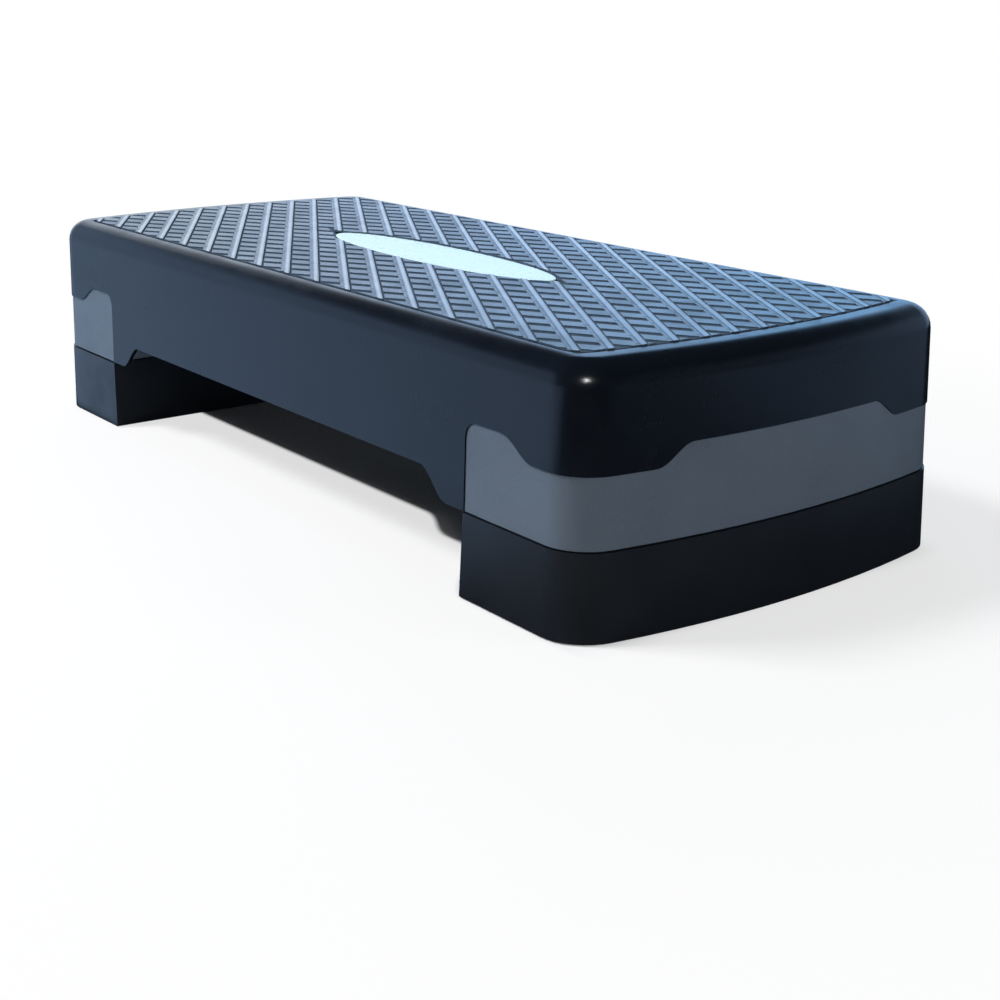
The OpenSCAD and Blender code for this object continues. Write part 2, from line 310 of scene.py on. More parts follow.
# Where the deck's finishes meet, in metres: each pair is where one finish ends and the next is full
FIELD_BLUR = (-0.0005, 0.0012)  # across the edge of the tread field
FIELD_DEPTH = (0.0016, 0.0012)  # under the bars' tops, from the sides' finish to the field's
BAR_DEPTH = (0.00045, 0.00015)  # under the bars' tops, from the field's finish to the bars'
CREST_HIGHLIGHT_SHARE = (0.2, 0.34)  # of a bar's width, from the painted highlight on the crest to the bar's edges
CREST_HIGHLIGHT_FADE = (0.06, 0.3, 1.0, 0.25)  # along x, the painted highlight on the crests fades from full to a quarter of it, as photographed
FLOOR_PAINTED_SHADE = 0.65  # of the field's floor between the tiles: painted shade of the recess
FLOOR_ROUGHER = 0.55


def deck_plastic(settings):
    """Deck's finish: blue-black sides, a tread floor darkened as painted shade and dulled, and bars with a
    painted highlight along their crest, mottled by noise.
    """
    f, base, gloss, normal = moulded_plastic(
        "deck_moulded_plastic", tuple(settings.deck), settings.deck_gloss
    )
    x, y, z = f.axes()
    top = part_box("deck")[1].z
    body = bpy.context.scene.step_body
    tread = bpy.context.scene.step_tread

    half_w = body.width / 2 - tread.field_side
    half_l = body.length / 2 - tread.field_end
    inner, outer = (half_w + blur for blur in FIELD_BLUR)
    across = f.span(f.maths("ABSOLUTE", y), inner, outer, 1.0, 0.0)
    end_radius = (body.width**2 / 4 + body.end_bulge**2) / (2 * body.end_bulge)
    bulge = f.maths("DIVIDE", f.maths("MULTIPLY", y, y), 2 * end_radius)
    inner, outer = (half_l + blur for blur in FIELD_BLUR)
    along = f.span(f.maths("ADD", f.maths("ABSOLUTE", x), bulge), inner, outer, 1.0, 0.0)
    upper = f.span(z, top - FIELD_DEPTH[0], top - FIELD_DEPTH[1])
    field = f.maths("MULTIPLY", f.maths("MULTIPLY", across, along), upper)

    worn = f.noise(130.0, 4.0)
    # Painted shade: the field's floor between the tiles is darkened where the recess is shaded, with random
    # paler patches.
    floor = shade(tuple(settings.tread), FLOOR_PAINTED_SHADE)
    base = f.blend(field, base, f.blend(f.span(worn, 0.3, 0.7), floor, shade(floor, 1.3)))

    slant = f.maths(
        "ADD",
        f.maths("MULTIPLY", x, math.sin(tread.bar_angle)),
        f.maths("MULTIPLY", y, math.cos(tread.bar_angle)),
    )
    lane = f.maths("FRACT", f.maths("DIVIDE", slant, tread.bar_pitch))
    off_crest = f.maths("ABSOLUTE", f.maths("SUBTRACT", lane, 0.5))
    off_crest = f.maths("MULTIPLY", off_crest, tread.bar_pitch)
    # Painted highlight: a pale band along each bar's crest, mottled by noise and fading along x, stands in
    # for the gloss reflection of the rounded bars.
    near, far = (tread.bar_width * share for share in CREST_HIGHLIGHT_SHARE)
    crest = f.maths("MULTIPLY", f.span(off_crest, near, far, 1.0, 0.0), f.span(x, *CREST_HIGHLIGHT_FADE))
    raised = f.maths("MULTIPLY", field, f.span(z, top - BAR_DEPTH[0], top - BAR_DEPTH[1]))
    bar = tuple(settings.bar)
    mottled_crest_highlight = f.blend(f.span(worn, 0.3, 0.75), shade(bar, 0.8), bar)
    base = f.blend(raised, base, f.blend(crest, tuple(settings.tread), mottled_crest_highlight))

    recess = f.maths("SUBTRACT", field, raised, clamp=True)
    gloss = f.maths("MULTIPLY_ADD", recess, FLOOR_ROUGHER, gloss)
    return f.use(base, gloss, normal)


def tread_plastic(settings):
    """Tiles of the tread: blue-grey, rubbed paler in patches."""
    rgb = tuple(settings.tread)
    f, base, gloss, normal = moulded_plastic("tread_moulded_plastic", rgb, settings.deck_gloss + 0.07)
    rubbed = f.noise(55.0, 5.0, 0.65)
    base = f.blend(f.span(rubbed, 0.45, 0.8, 0.0, 0.5), base, shade(rgb, 1.5))
    return f.use(base, gloss, normal)


def plain_plastic(name, rgb, roughness):
    """Moulded plastic as it comes, for the end blocks and the foot risers."""
    f, base, gloss, normal = moulded_plastic(name, rgb, roughness)
    return f.use(base, gloss, normal)


def badge_coat(settings):
    """Pale mint lacquer with a faint pearly grain."""
    f = Finish("badge_mint_lacquer")
    x = f.axes()[0]
    rgb = tuple(settings.badge)
    half = bpy.context.scene.step_body.badge_length / 2
    base = f.blend(f.span(x, -half, half), shade(rgb, 0.93), rgb)
    base = f.blend(f.span(f.noise(400.0), 0.4, 0.7, 0.0, 0.25), base, (0.9, 1.0, 1.0))
    gloss = f.span(f.noise(60.0, 4.0), 0.3, 0.7, 0.24, 0.32)
    return f.use(base, gloss, f.bump(f.noise(700.0), 0.00001, 0.4))


def pad_rubber(settings):
    """Black rubber with a fine, matt grain."""
    f = Finish("pad_black_rubber")
    rgb = tuple(settings.rubber)
    base = f.blend(f.span(f.noise(300.0), 0.35, 0.7), rgb, shade(rgb, 1.9))
    gloss = f.span(f.noise(120.0), 0.3, 0.7, 0.7, 0.85)
    return f.use(base, gloss, f.bump(f.noise(2500.0), 0.00004, 0.6))


def screw_steel(settings):
    """Zinc-plated steel, a little blotched."""
    f = Finish("screw_zinc_steel")
    rgb = tuple(settings.steel)
    base = f.blend(f.span(f.noise(500.0), 0.3, 0.7), shade(rgb, 0.8), rgb)
    socket(f.shader, "Metallic").default_value = 1.0
    gloss = f.span(f.noise(900.0), 0.3, 0.7, 0.22, 0.36)
    return f.use(base, gloss, f.bump(f.noise(1800.0), 0.00001, 0.5))


# Mesh helpers


def new_piece(name, mesh, material, body):
    """Links a mesh as a piece of the object that rides on a body."""
    piece = bpy.data.objects.new(name, mesh)
    bpy.context.scene.collection.objects.link(piece)
    piece.data.materials.append(material)
    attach(piece, body)
    return piece


def mesh_of(name, points, faces, smooth=True):
    """A mesh from its points and faces."""
    made = bpy.data.meshes.new(name)
    made.from_pydata(points, [], faces)
    made.validate()
    if smooth:
        for face in made.polygons:
            face.use_smooth = True
    return made


def tube_faces(rings, count, first=0):
    """Quads between rings of count points each, whose first point has the index first."""
    faces = []
    for k in range(rings - 1):
        a = first + k * count
        for i in range(count):
            j = (i + 1) % count
            faces.append((a + i, a + j, a + count + j, a + count + i))
    return faces


WELD_DISTANCE = 0.000004  # between the points of an imported solid that are one, in metres
SMOOTH_ANGLE = math.radians(28)  # between faces that shade as one
BEVEL_ANGLE = math.radians(50)  # between faces whose edge is rounded


def clean_shading():
    """Geometry nodes that weld an imported solid and shade it smooth up to an angle."""
    group = bpy.data.node_groups.get("clean_shading")
    if group:
        return group
    group = bpy.data.node_groups.new("clean_shading", "GeometryNodeTree")
    group.interface.new_socket("Geometry", in_out="INPUT", socket_type="NodeSocketGeometry")
    group.interface.new_socket("Geometry", in_out="OUTPUT", socket_type="NodeSocketGeometry")
    add, link = group.nodes.new, group.links.new
    start, end = add("NodeGroupInput"), add("NodeGroupOutput")
    weld = add("GeometryNodeMergeByDistance")
    weld.inputs["Distance"].default_value = WELD_DISTANCE
    plain = add("GeometryNodeRemoveAttribute")
    plain.inputs["Name"].default_value = "custom_normal"
    faces = add("GeometryNodeSetShadeSmooth")
    edges = add("GeometryNodeSetShadeSmooth")
    edges.domain = "EDGE"
    angle = add("GeometryNodeInputMeshEdgeAngle")
    small = add("FunctionNodeCompare")
    small.operation = "LESS_THAN"
    small.inputs[1].default_value = SMOOTH_ANGLE
    link(start.outputs[0], weld.inputs["Geometry"])
    link(weld.outputs[0], plain.inputs["Geometry"])
    link(plain.outputs[0], faces.inputs["Geometry"])
    link(faces.outputs[0], edges.inputs["Geometry"])
    link(angle.outputs["Unsigned Angle"], small.inputs[0])
    link(small.outputs[0], edges.inputs["Shade Smooth"])
    link(edges.outputs[0], end.inputs[0])
    return group


def dress_node(name, material, rounding):
    """Gives a CAD node its finish, welded smooth shading and slightly rounded edges."""
    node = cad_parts[name]
    node.data.materials.clear()
    node.data.materials.append(material)
    tidy = node.modifiers.new("clean_shading", "NODES")
    tidy.node_group = clean_shading()
    if rounding > 0:
        bevel = node.modifiers.new("rounded_edges", "BEVEL")
        bevel.width = rounding
        bevel.segments = 2
        bevel.limit_method = "ANGLE"
        bevel.angle_limit = BEVEL_ANGLE
        bevel.use_clamp_overlap = True
        bevel.harden_normals = False
    return node


# Tread tiles. Lengths are metres

END_STEPS = 12  # tangents along half of a bulged end
CORNER_STEPS = 7  # turns of the tangent round a corner
FIELD_GAP = 0.0006  # between the tiles and the field's edge
BADGE_GAP = 0.0022  # between the tiles and the badge
RECESS_GAP = 0.0036  # between the tiles and the recess's points
RECESS_REACH = 0.01  # beyond the points, where the recess still trims a tile
TILE_TUCK = 0.0002  # of a ledge into its bar, and of a tile into the floor
LEAST_EDGE = 0.0004
LEAST_AREA = 6e-6
LEAST_SHARE = 0.35  # of a corner's room, so that a sharp one doesn't shoot inwards
LEDGE_DROP = 0.00003  # of a ledge's top under a tile's
MOST_BAR_HEIGHT = 0.002


def clip(points, normal, reach):
    """The part of a convex outline whose distance along the normal stays under reach."""
    kept = []
    for i, a in enumerate(points):
        b = points[(i + 1) % len(points)]
        da, db = a.dot(normal) - reach, b.dot(normal) - reach
        if da <= 0:
            kept.append(a)
        if (da < 0 < db) or (db < 0 < da):
            kept.append(a + (b - a) * (da / (da - db)))
    return kept


def area(points):
    """Area inside an outline, above zero if it turns left."""
    return sum(a.x * b.y - b.x * a.y for a, b in zip(points, points[1:] + points[:1])) / 2


def field_edges(tread, body):
    """Tangents of the tread field's edge, as (outward normal, reach), all round."""
    half_w = body.width / 2 - tread.field_side
    half_l = body.length / 2 - tread.field_end
    end_radius = (body.width**2 / 4 + body.end_bulge**2) / (2 * body.end_bulge) - tread.field_end
    corner = tread.field_radius
    centre = half_l - end_radius
    corner_y = half_w - corner
    corner_x = centre + math.sqrt((end_radius - corner) ** 2 - corner_y**2)
    swing = math.atan2(corner_y, corner_x - centre)
    edges = [(Vector((0, 1)), half_w), (Vector((0, -1)), half_w)]
    for sign in (-1, 1):
        for k in range(-END_STEPS, END_STEPS + 1):
            turn = swing * k / END_STEPS
            normal = Vector((sign * math.cos(turn), math.sin(turn)))
            edges.append((normal, end_radius + sign * centre * normal.x))
        for side in (-1, 1):
            for k in range(1, CORNER_STEPS):
                turn = swing + (math.pi / 2 - swing) * k / CORNER_STEPS
                normal = Vector((sign * math.cos(turn), side * math.sin(turn)))
                middle = Vector((sign * corner_x, side * corner_y))
                edges.append((normal, corner + middle.dot(normal)))
    return edges


def clear_of_badge(points, half_length, half_width, point_length):
    """Clips an outline away from the oval badge and from the pointed recess round it."""
    middle = sum(points, Vector((0, 0))) / len(points)
    angle = math.atan2(middle.y / half_width, middle.x / half_length)
    edge = Vector((half_length * math.cos(angle), half_width * math.sin(angle)))
    normal = Vector((math.cos(angle) / half_length, math.sin(angle) / half_width)).normalized()
    points = clip(points, -normal, -edge.dot(normal))
    if abs(middle.x) > point_length + RECESS_REACH:
        return points
    radius = (point_length**2 + half_width**2) / (2 * half_width)
    centre = Vector((0, math.copysign(radius - half_width, -middle.y)))
    normal = (middle - centre).normalized()
    return clip(points, -normal, -(radius + centre.dot(normal)))


def shrink(points, step):
    """Moves each corner of a convex outline inwards, step from both its edges where there is room."""
    count = len(points)
    moved = []
    for i in range(count):
        a = (points[i] - points[i - 1]).normalized()
        b = (points[(i + 1) % count] - points[i]).normalized()
        inward = Vector((-a.y - b.y, a.x + b.x))
        share = max(LEAST_SHARE, inward.length_squared / 2)
        moved.append(points[i] + inward * (step / share))
    return moved


def tidy_outline(points, least):
    """Drops points that lie nearly on their neighbour."""
    kept = []
    for p in points:
        if not kept or (p - kept[-1]).length > least:
            kept.append(p)
    if len(kept) > 2 and (kept[0] - kept[-1]).length <= least:
        kept.pop()
    return kept


def tile_outlines(tread, body):
    """Outlines of all tiles and ledges on the tread, as seen from above."""
    side = Vector((math.sin(tread.bar_angle), math.cos(tread.bar_angle)))
    along = Vector((side.y, -side.x))
    half_l = body.length / 2
    lean = tread.tile_pitch / 2 / tread.bar_pitch
    lanes = int(half_l / tread.bar_pitch) + 4
    rows = int(half_l * 1.2 / tread.tile_pitch) + 4
    edges = [(normal, reach - FIELD_GAP) for normal, reach in field_edges(tread, body)]
    badge = (
        body.badge_length / 2 + BADGE_GAP,
        body.badge_width / 2 + BADGE_GAP,
        body.recess_length / 2 + RECESS_GAP,
    )
    found = []

    def leaning(left, right, lower, upper):
        """Corners of a tile that leans with its row."""
        corners = ((left, lower), (right, lower), (right, upper), (left, upper))
        return [along * (u + lean * v) + side * v for u, v in corners]

    def keep(points, is_ledge):
        """Trims an outline and keeps it, unless only a sliver is left."""
        for normal, reach in edges:
            if max(p.dot(normal) for p in points) > reach:
                points = clip(points, normal, reach)
                if len(points) < 3:
                    return
        points = tidy_outline(clear_of_badge(points, *badge), LEAST_EDGE)
        if len(points) > 2 and abs(area(points)) > LEAST_AREA:
            found.append((points, is_ledge))

    for lane in range(-lanes, lanes + 1):
        low = (lane - 0.5) * tread.bar_pitch + tread.bar_width / 2 + tread.lane_gap
        high = (lane + 0.5) * tread.bar_pitch - tread.bar_width / 2 + TILE_TUCK
        ledge = high - tread.ledge_width
        for row in range(-rows, rows + 1):
            middle = row * tread.tile_pitch + tread.tile_offset
            a, b = middle - tread.tile_width / 2, middle + tread.tile_width / 2
            keep(leaning(a, b, low, ledge), False)
            edge = middle + tread.tile_pitch / 2
            c, d = edge - tread.tile_pitch / 2, edge + tread.tile_pitch / 2
            keep(leaning(c, d, ledge, high), True)
    return found


def tile_mesh(tread, body, floor_z):
    """One mesh of raised tiles with rounded upper edges."""
    points, faces = [], []
    tall = tread.tile_height
    rings = ((0.0, -TILE_TUCK), (0.0, tall * 0.6), (0.00012, tall * 0.88), (0.00042, tall))
    for outline, is_ledge in tile_outlines(tread, body):
        if area(outline) <= 0:
            outline = outline[::-1]
        count = len(outline)
        first = len(points)
        drop = LEDGE_DROP if is_ledge else 0.0
        for inset, height in rings:
            ring = shrink(outline, inset) if inset else outline
            points += [(p.x, p.y, floor_z + height - drop) for p in ring]
        faces += tube_faces(len(rings), count, first)
        top = first + (len(rings) - 1) * count
        faces.append(tuple(range(top, top + count)))
        faces.append(tuple(range(first + count - 1, first - 1, -1)))
    return mesh_of("tread_tiles", points, faces, smooth=False)


class STEP_OT_tread(bpy.types.Operator):
    """Adds the raised tiles between the tread's bars"""

    bl_idname = "step.tread"
    bl_label = "Tread tiles"

    def execute(self, context):
        scene = context.scene
        bars_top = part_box("deck")[1].z
        floor_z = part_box("badge")[1].z
        if not 0 < bars_top - floor_z < MOST_BAR_HEIGHT:
            raise RuntimeError("the badge isn't level with the deck under the bars")
        mesh = tile_mesh(scene.step_tread, scene.step_body, floor_z)
        material = tread_plastic(scene.step_finish)
        new_piece("tread_tiles", mesh, material, PLATFORM)
        return {"FINISHED"}


class STEP_OT_deck(bpy.types.Operator):
    """Finishes the deck shell"""

    bl_idname = "step.deck"
    bl_label = "Deck shell"

    def execute(self, context):
        scene = context.scene
        deck = dress_node("deck", deck_plastic(scene.step_finish), 0.0)
        even = deck.modifiers.new("even_shading", "WEIGHTED_NORMAL")
        even.keep_sharp = True
        return {"FINISHED"}


# Badge


BADGE_TURNS = 96
BADGE_DOME = 0.0003  # height of the dome over the rim, in metres


def badge_mesh(low, high, a, b):
    """Oval plate of half length a and half width b, with a rounded rim and a softly domed face."""
    rings = [(0.0, low.z), (0.0, high.z - 0.0004), (0.00025, high.z - 0.0001), (0.0007, high.z)]
    for share in (0.15, 0.35, 0.6, 0.85):
        rings.append((b * share, high.z + BADGE_DOME * math.sin(share * math.pi / 2)))
    points = []
    for inset, z in rings:
        for i in range(BADGE_TURNS):
            t = 2 * math.pi * i / BADGE_TURNS
            points.append(((a - inset) * math.cos(t), (b - inset) * math.sin(t), z))
    faces = tube_faces(len(rings), BADGE_TURNS)
    top = (len(rings) - 1) * BADGE_TURNS
    faces.append(tuple(range(top, top + BADGE_TURNS)))
    faces.append(tuple(range(BADGE_TURNS - 1, -1, -1)))
    return mesh_of("badge_face", points, faces)


class STEP_OT_badge(bpy.types.Operator):
    """Replaces the badge with a softly domed plate with a rounded rim"""

    bl_idname = "step.badge"
    bl_label = "Badge"

    def execute(self, context):
        scene = context.scene
        body = scene.step_body
        low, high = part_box("badge")
        mesh = badge_mesh(low, high, body.badge_length / 2, body.badge_width / 2)
        face = new_piece("badge_face", mesh, badge_coat(scene.step_finish), PLATFORM)
        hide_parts("badge")
        return {"FINISHED"}


# End blocks, foot risers, screws and pads


class STEP_OT_end_blocks(bpy.types.Operator):
    """Finishes the two grey end blocks"""

    bl_idname = "step.end_blocks"
    bl_label = "End blocks"

    def execute(self, context):
        finish = context.scene.step_finish
        material = plain_plastic("block_moulded_plastic", tuple(finish.block), finish.block_gloss)
        for side in SIDES:
            dress_node(f"end_block_{side}", material, context.scene.step_body.edge_round)
        return {"FINISHED"}


class STEP_OT_foot_risers(bpy.types.Operator):
    """Finishes the two black foot risers"""

    bl_idname = "step.foot_risers"
    bl_label = "Foot risers"

    def execute(self, context):
        finish = context.scene.step_finish
        material = plain_plastic("foot_moulded_plastic", tuple(finish.foot), finish.foot_gloss)
        for side in SIDES:
            dress_node(f"foot_riser_{side}", material, context.scene.step_body.edge_round)
        return {"FINISHED"}


# Screws and pads. Lengths are metres

SCREWS_PER_SIDE = 4
HEAD_HEIGHT = 0.0028
SHANK_WIDTH = 0.004
CORE_SHARE = 0.76  # of the shank's width, between the threads
TIP_LENGTH = 0.005  # of the taper at the point
TIP_SHARE = 0.12  # of the shank's width, at the very tip
THREAD = ((0, -0.5), (0, -0.14), (1, 0.0), (0, 0.14), (0, 0.5))  # is crest, height in pitches
THREAD_TURNS = 20
HEAD_TURNS = 40
DRIVE_RADIUS = 0.002  # inside it the head's rings follow the crossed drive
DRIVE_SLOT = 0.32  # sine that a slot's half width spans
PAD_TURNS = 48
PAD_BEVEL = 0.0009
GROOVE_DEPTH = 0.0006
DIMPLE_RADIUS = 0.0021


def around(radius, turn, z):
    """Point at a radius and a turn about the z axis."""
    return Vector((radius * math.cos(turn), radius * math.sin(turn), z))


def screw_mesh(name, x, rows, z_low, z_high, head_d, pitch):
    """Self-tapping screws in a row, point upwards, with a helical thread and a crossed drive."""
    made = bmesh.new()
    core, crest = SHANK_WIDTH / 2 * CORE_SHARE, SHANK_WIDTH / 2
    shank_low = z_low + HEAD_HEIGHT * 0.6
    head_top = z_low + HEAD_HEIGHT
    profile = [
        (0.0008, z_low + 0.0010),
        (0.0011, z_low + 0.0003),
        (head_d / 2 - 0.0012, z_low),
        (head_d / 2 - 0.0003, z_low + HEAD_HEIGHT * 0.35),
        (head_d / 2, z_low + HEAD_HEIGHT * 0.85),
        (head_d / 2, head_top),
        (core, head_top),
    ]
    for y in rows:
        centre = Vector((x, y, 0))
        before = None
        for k in range(int((z_high - shank_low) / pitch * THREAD_TURNS) + 1):
            turn = 2 * math.pi * k / THREAD_TURNS
            base = shank_low + pitch * k / THREAD_TURNS
            thin = max(TIP_SHARE, min(1.0, (z_high - base) / TIP_LENGTH))
            ring = []
            for is_crest, rise in THREAD:
                radius = crest if is_crest else core
                z = min(z_high, max(z_low + HEAD_HEIGHT * 0.5, base + pitch * rise))
                ring.append(made.verts.new(centre + around(radius * thin, turn, z)))
            if before:
                for i in range(len(THREAD) - 1):
                    made.faces.new((before[i], ring[i], ring[i + 1], before[i + 1]))
            before = ring
        rings = []
        for radius, z in profile:
            ring = []
            for i in range(HEAD_TURNS):
                turn = 2 * math.pi * i / HEAD_TURNS
                reach = radius
                if radius < DRIVE_RADIUS:
                    reach = radius * (1.9 if abs(math.sin(2 * turn)) < DRIVE_SLOT else 0.75)
                ring.append(made.verts.new(centre + around(reach, turn, z)))
            rings.append(ring)
        hub = made.verts.new(centre + Vector((0, 0, z_low + 0.0011)))
        for i in range(HEAD_TURNS):
            made.faces.new((hub, rings[0][(i + 1) % HEAD_TURNS], rings[0][i]))
        for inner, outer in zip(rings, rings[1:]):
            for i in range(HEAD_TURNS):
                j = (i + 1) % HEAD_TURNS
                made.faces.new((inner[i], inner[j], outer[j], outer[i]))
    mesh = bpy.data.meshes.new(name)
    bmesh.ops.recalc_face_normals(made, faces=made.faces)
    made.to_mesh(mesh)
    made.free()
    return mesh


def screw_centres(node, high_z, head_d):
    """The y of each screw in a node, from the points of the screws' flat ends."""
    verts = [v.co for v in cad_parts[node].data.vertices]
    groups = []
    for y in sorted({round(v.y, 5) for v in verts if abs(v.z - high_z) < 1e-6}):
        if not groups or y - groups[-1][-1] > head_d:
            groups.append([y])
        else:
            groups[-1].append(y)
    return [(group[0] + group[-1]) / 2 for group in groups]


class STEP_OT_block_screws(bpy.types.Operator):
    """Replaces the plain screws with threaded ones"""

    bl_idname = "step.block_screws"
    bl_label = "Block screws"

    def execute(self, context):
        scene = context.scene
        steel = screw_steel(scene.step_finish)
        for side in SIDES:
            node = f"block_screws_{side}"
            low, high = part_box(node)
            head_d = high.x - low.x
            centres = screw_centres(node, high.z, head_d)
            if len(centres) != SCREWS_PER_SIDE:
                raise RuntimeError("four screws were expected on each side")
            x = (low.x + high.x) / 2
            pitch = scene.step_body.thread_pitch
            mesh = screw_mesh(f"screws_{side}", x, centres, low.z, high.z, head_d, pitch)
            piece = new_piece(f"threaded_screws_{side}", mesh, steel, PLATFORM)
            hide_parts(node)
        return {"FINISHED"}


def pad_mesh(name, radius, height, grooves):
    """Round rubber pad whose lower face has rings of grooves, standing on z = 0."""
    profile = [(0.0, GROOVE_DEPTH), (0.0018, GROOVE_DEPTH), (DIMPLE_RADIUS, 0.0)]
    step = (radius - PAD_BEVEL - DIMPLE_RADIUS) / (grooves + 0.5)
    for k in range(grooves):
        r = DIMPLE_RADIUS + step * (k + 0.55)
        profile += [(r, 0.0), (r + 0.0001, GROOVE_DEPTH), (r + 0.0008, GROOVE_DEPTH), (r + 0.0009, 0.0)]
    profile += [
        (radius - PAD_BEVEL, 0.0),
        (radius - PAD_BEVEL * 0.4, PAD_BEVEL * 0.15),
        (radius, PAD_BEVEL),
        (radius, height - 0.0002),
        (radius - 0.0002, height),
        (0.0, height),
    ]
    turns = [2 * math.pi * i / PAD_TURNS for i in range(PAD_TURNS)]
    points = [(r * math.cos(t), r * math.sin(t), z) for r, z in profile for t in turns]
    faces = []
    for k in range(len(profile) - 1):
        a = k * PAD_TURNS
        for i in range(PAD_TURNS):
            j = (i + 1) % PAD_TURNS
            faces.append((a + j, a + i, a + PAD_TURNS + i, a + PAD_TURNS + j))
    made = bmesh.new()
    mesh = mesh_of(name, points, faces, smooth=False)
    made.from_mesh(mesh)
    bmesh.ops.remove_doubles(made, verts=made.verts, dist=1e-6)
    bmesh.ops.recalc_face_normals(made, faces=made.faces)
    made.to_mesh(mesh)
    made.free()
    return mesh


class STEP_OT_rubber_pads(bpy.types.Operator):
    """Replaces the plain pads with ringed rubber pads"""

    bl_idname = "step.rubber_pads"
    bl_label = "Rubber pads"

    def execute(self, context):
        scene = context.scene
        low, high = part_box("foot_pad_left_1")
        mesh = pad_mesh("ringed_pad", (high.x - low.x) / 2, high.z - low.z, scene.step_body.pad_rings)
        mesh.materials.append(pad_rubber(scene.step_finish))
        for group in ("block", "foot"):
            for side in SIDES:
                for number in range(1, 5):
                    node = f"{group}_pad_{side}_{number}"
                    low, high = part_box(node)
                    piece = bpy.data.objects.new(f"ringed_{node}", mesh)
                    scene.collection.objects.link(piece)
                    piece.location = ((low.x + high.x) / 2, (low.y + high.y) / 2, low.z)
                    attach(piece, PLATFORM if group == "block" else f"foot_{side}")
                    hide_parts(node)
        return {"FINISHED"}


# Studio


def area_lamp(name, place, target, size, power, tint):
    """A soft rectangular lamp that faces a point."""
    data = bpy.data.lights.new(name, "AREA")
    data.shape = "RECTANGLE"
    data.size, data.size_y = size
    data.energy = power
    data.color = tint
    lamp = bpy.data.objects.new(name, data)
    lamp.location = place
    lamp.rotation_mode = "QUATERNION"
    lamp.rotation_quaternion = (Vector(target) - Vector(place)).to_track_quat("-Z", "Y")
    bpy.context.scene.collection.objects.link(lamp)
    return lamp


# Where the floor is plain white to the camera, in metres: fitted to the photograph's cut-out shadow at rest
SHADOW_LINE = ((0.088, 0.137, -0.072, -0.090), (0.152, 0.232, 0.0, -0.055))  # y over x, as two steps
SHADOW_BLUR = (-0.003, 0.003)
SHADOW_ENDS = (0.30, 0.345, 1.0, 0.0)  # over the distance from the middle
SHADOW_BACK = (0.09, 0.15, 1.0, 0.0)  # over y
NEAR_WHITE = 0.7
MORE_WHITE = (0.05, 0.55, 0.0, 0.3)  # over the distance from the platform


def floor_share(f, body):
    """Share of plain white in the floor: none in the deck's shadow, more beside it, all of it far off.

    The line where it starts is drawn, not thrown by a lamp, so it stays when a foot is lowered.
    """
    x, y, _ = f.axes()
    far_x = f.maths("ABSOLUTE", x)
    far_y = f.maths("ABSOLUTE", y)
    beyond_x = f.maths("MAXIMUM", f.maths("SUBTRACT", far_x, body.length / 2), 0.0)
    beyond_y = f.maths("MAXIMUM", f.maths("SUBTRACT", far_y, body.width / 2), 0.0)
    squares = [f.maths("MULTIPLY", beyond, beyond) for beyond in (beyond_x, beyond_y)]
    away = f.maths("SQRT", f.maths("ADD", *squares))
    edge = f.maths("ADD", *(f.span(x, *step) for step in SHADOW_LINE))
    inside = f.span(f.maths("SUBTRACT", y, edge), *SHADOW_BLUR)
    inside = f.maths("MULTIPLY", inside, f.span(far_x, *SHADOW_ENDS))
    inside = f.maths("MULTIPLY", inside, f.span(y, *SHADOW_BACK))
    near = f.maths("MULTIPLY_ADD", inside, -NEAR_WHITE, NEAR_WHITE)
    return f.maths("ADD", near, f.span(away, *MORE_WHITE))


def white_to_camera(tree, share=None):
    """Factor that is 1 for camera, glossy and transmission rays and 0 for others, times a share."""
    path = tree.nodes.new("ShaderNodeLightPath")
    seen = path.outputs["Is Camera Ray"]
    for extra in ("Is Glossy Ray", "Is Transmission Ray"):
        both = tree.nodes.new("ShaderNodeMath")
        both.operation = "MAXIMUM"
        tree.links.new(seen, both.inputs[0])
        tree.links.new(path.outputs[extra], both.inputs[1])
        seen = both.outputs[0]
    if share is None:
        return seen
    part = tree.nodes.new("ShaderNodeMath")
    part.operation = "MULTIPLY"
    tree.links.new(seen, part.inputs[0])
    tree.links.new(share, part.inputs[1])
    return part.outputs[0]


def reflector(name, mesh):
    """A stage piece that shows only in the gloss of the plastic, like the flags and cards of a photo studio.

    Returns the builder of its nodes and the emission that it glows with.
    """
    card = bpy.data.objects.new(name, mesh)
    bpy.context.scene.collection.objects.link(card)
    for rays in ("camera", "diffuse", "transmission", "shadow", "volume_scatter"):
        setattr(card, f"visible_{rays}", False)
    f = Finish(name)
    f.tree.nodes.remove(f.shader)
    glow = f.node("ShaderNodeEmission")
    f.join(glow.outputs[0], f.tree.nodes["Material Output"].inputs["Surface"])
    card.data.materials.append(f.material)
    return f, glow


DOME_RADIUS = 3.2
WINDOW_TOP = (1.0, 1.9)  # over z, from the window to the dark overhead
TABLE_RADIUS = 3.3
TABLE_TURNS = 64
TABLE_HEIGHT = 0.0008
TABLE_FRONT = ((0.02, 0.26, 1.0, 0.0), (-0.152, -0.144, 1.0, 0.0))  # over x and over y
TABLE_BACK = ((0.36, 0.5), (0.08, 0.5))  # over x and over y


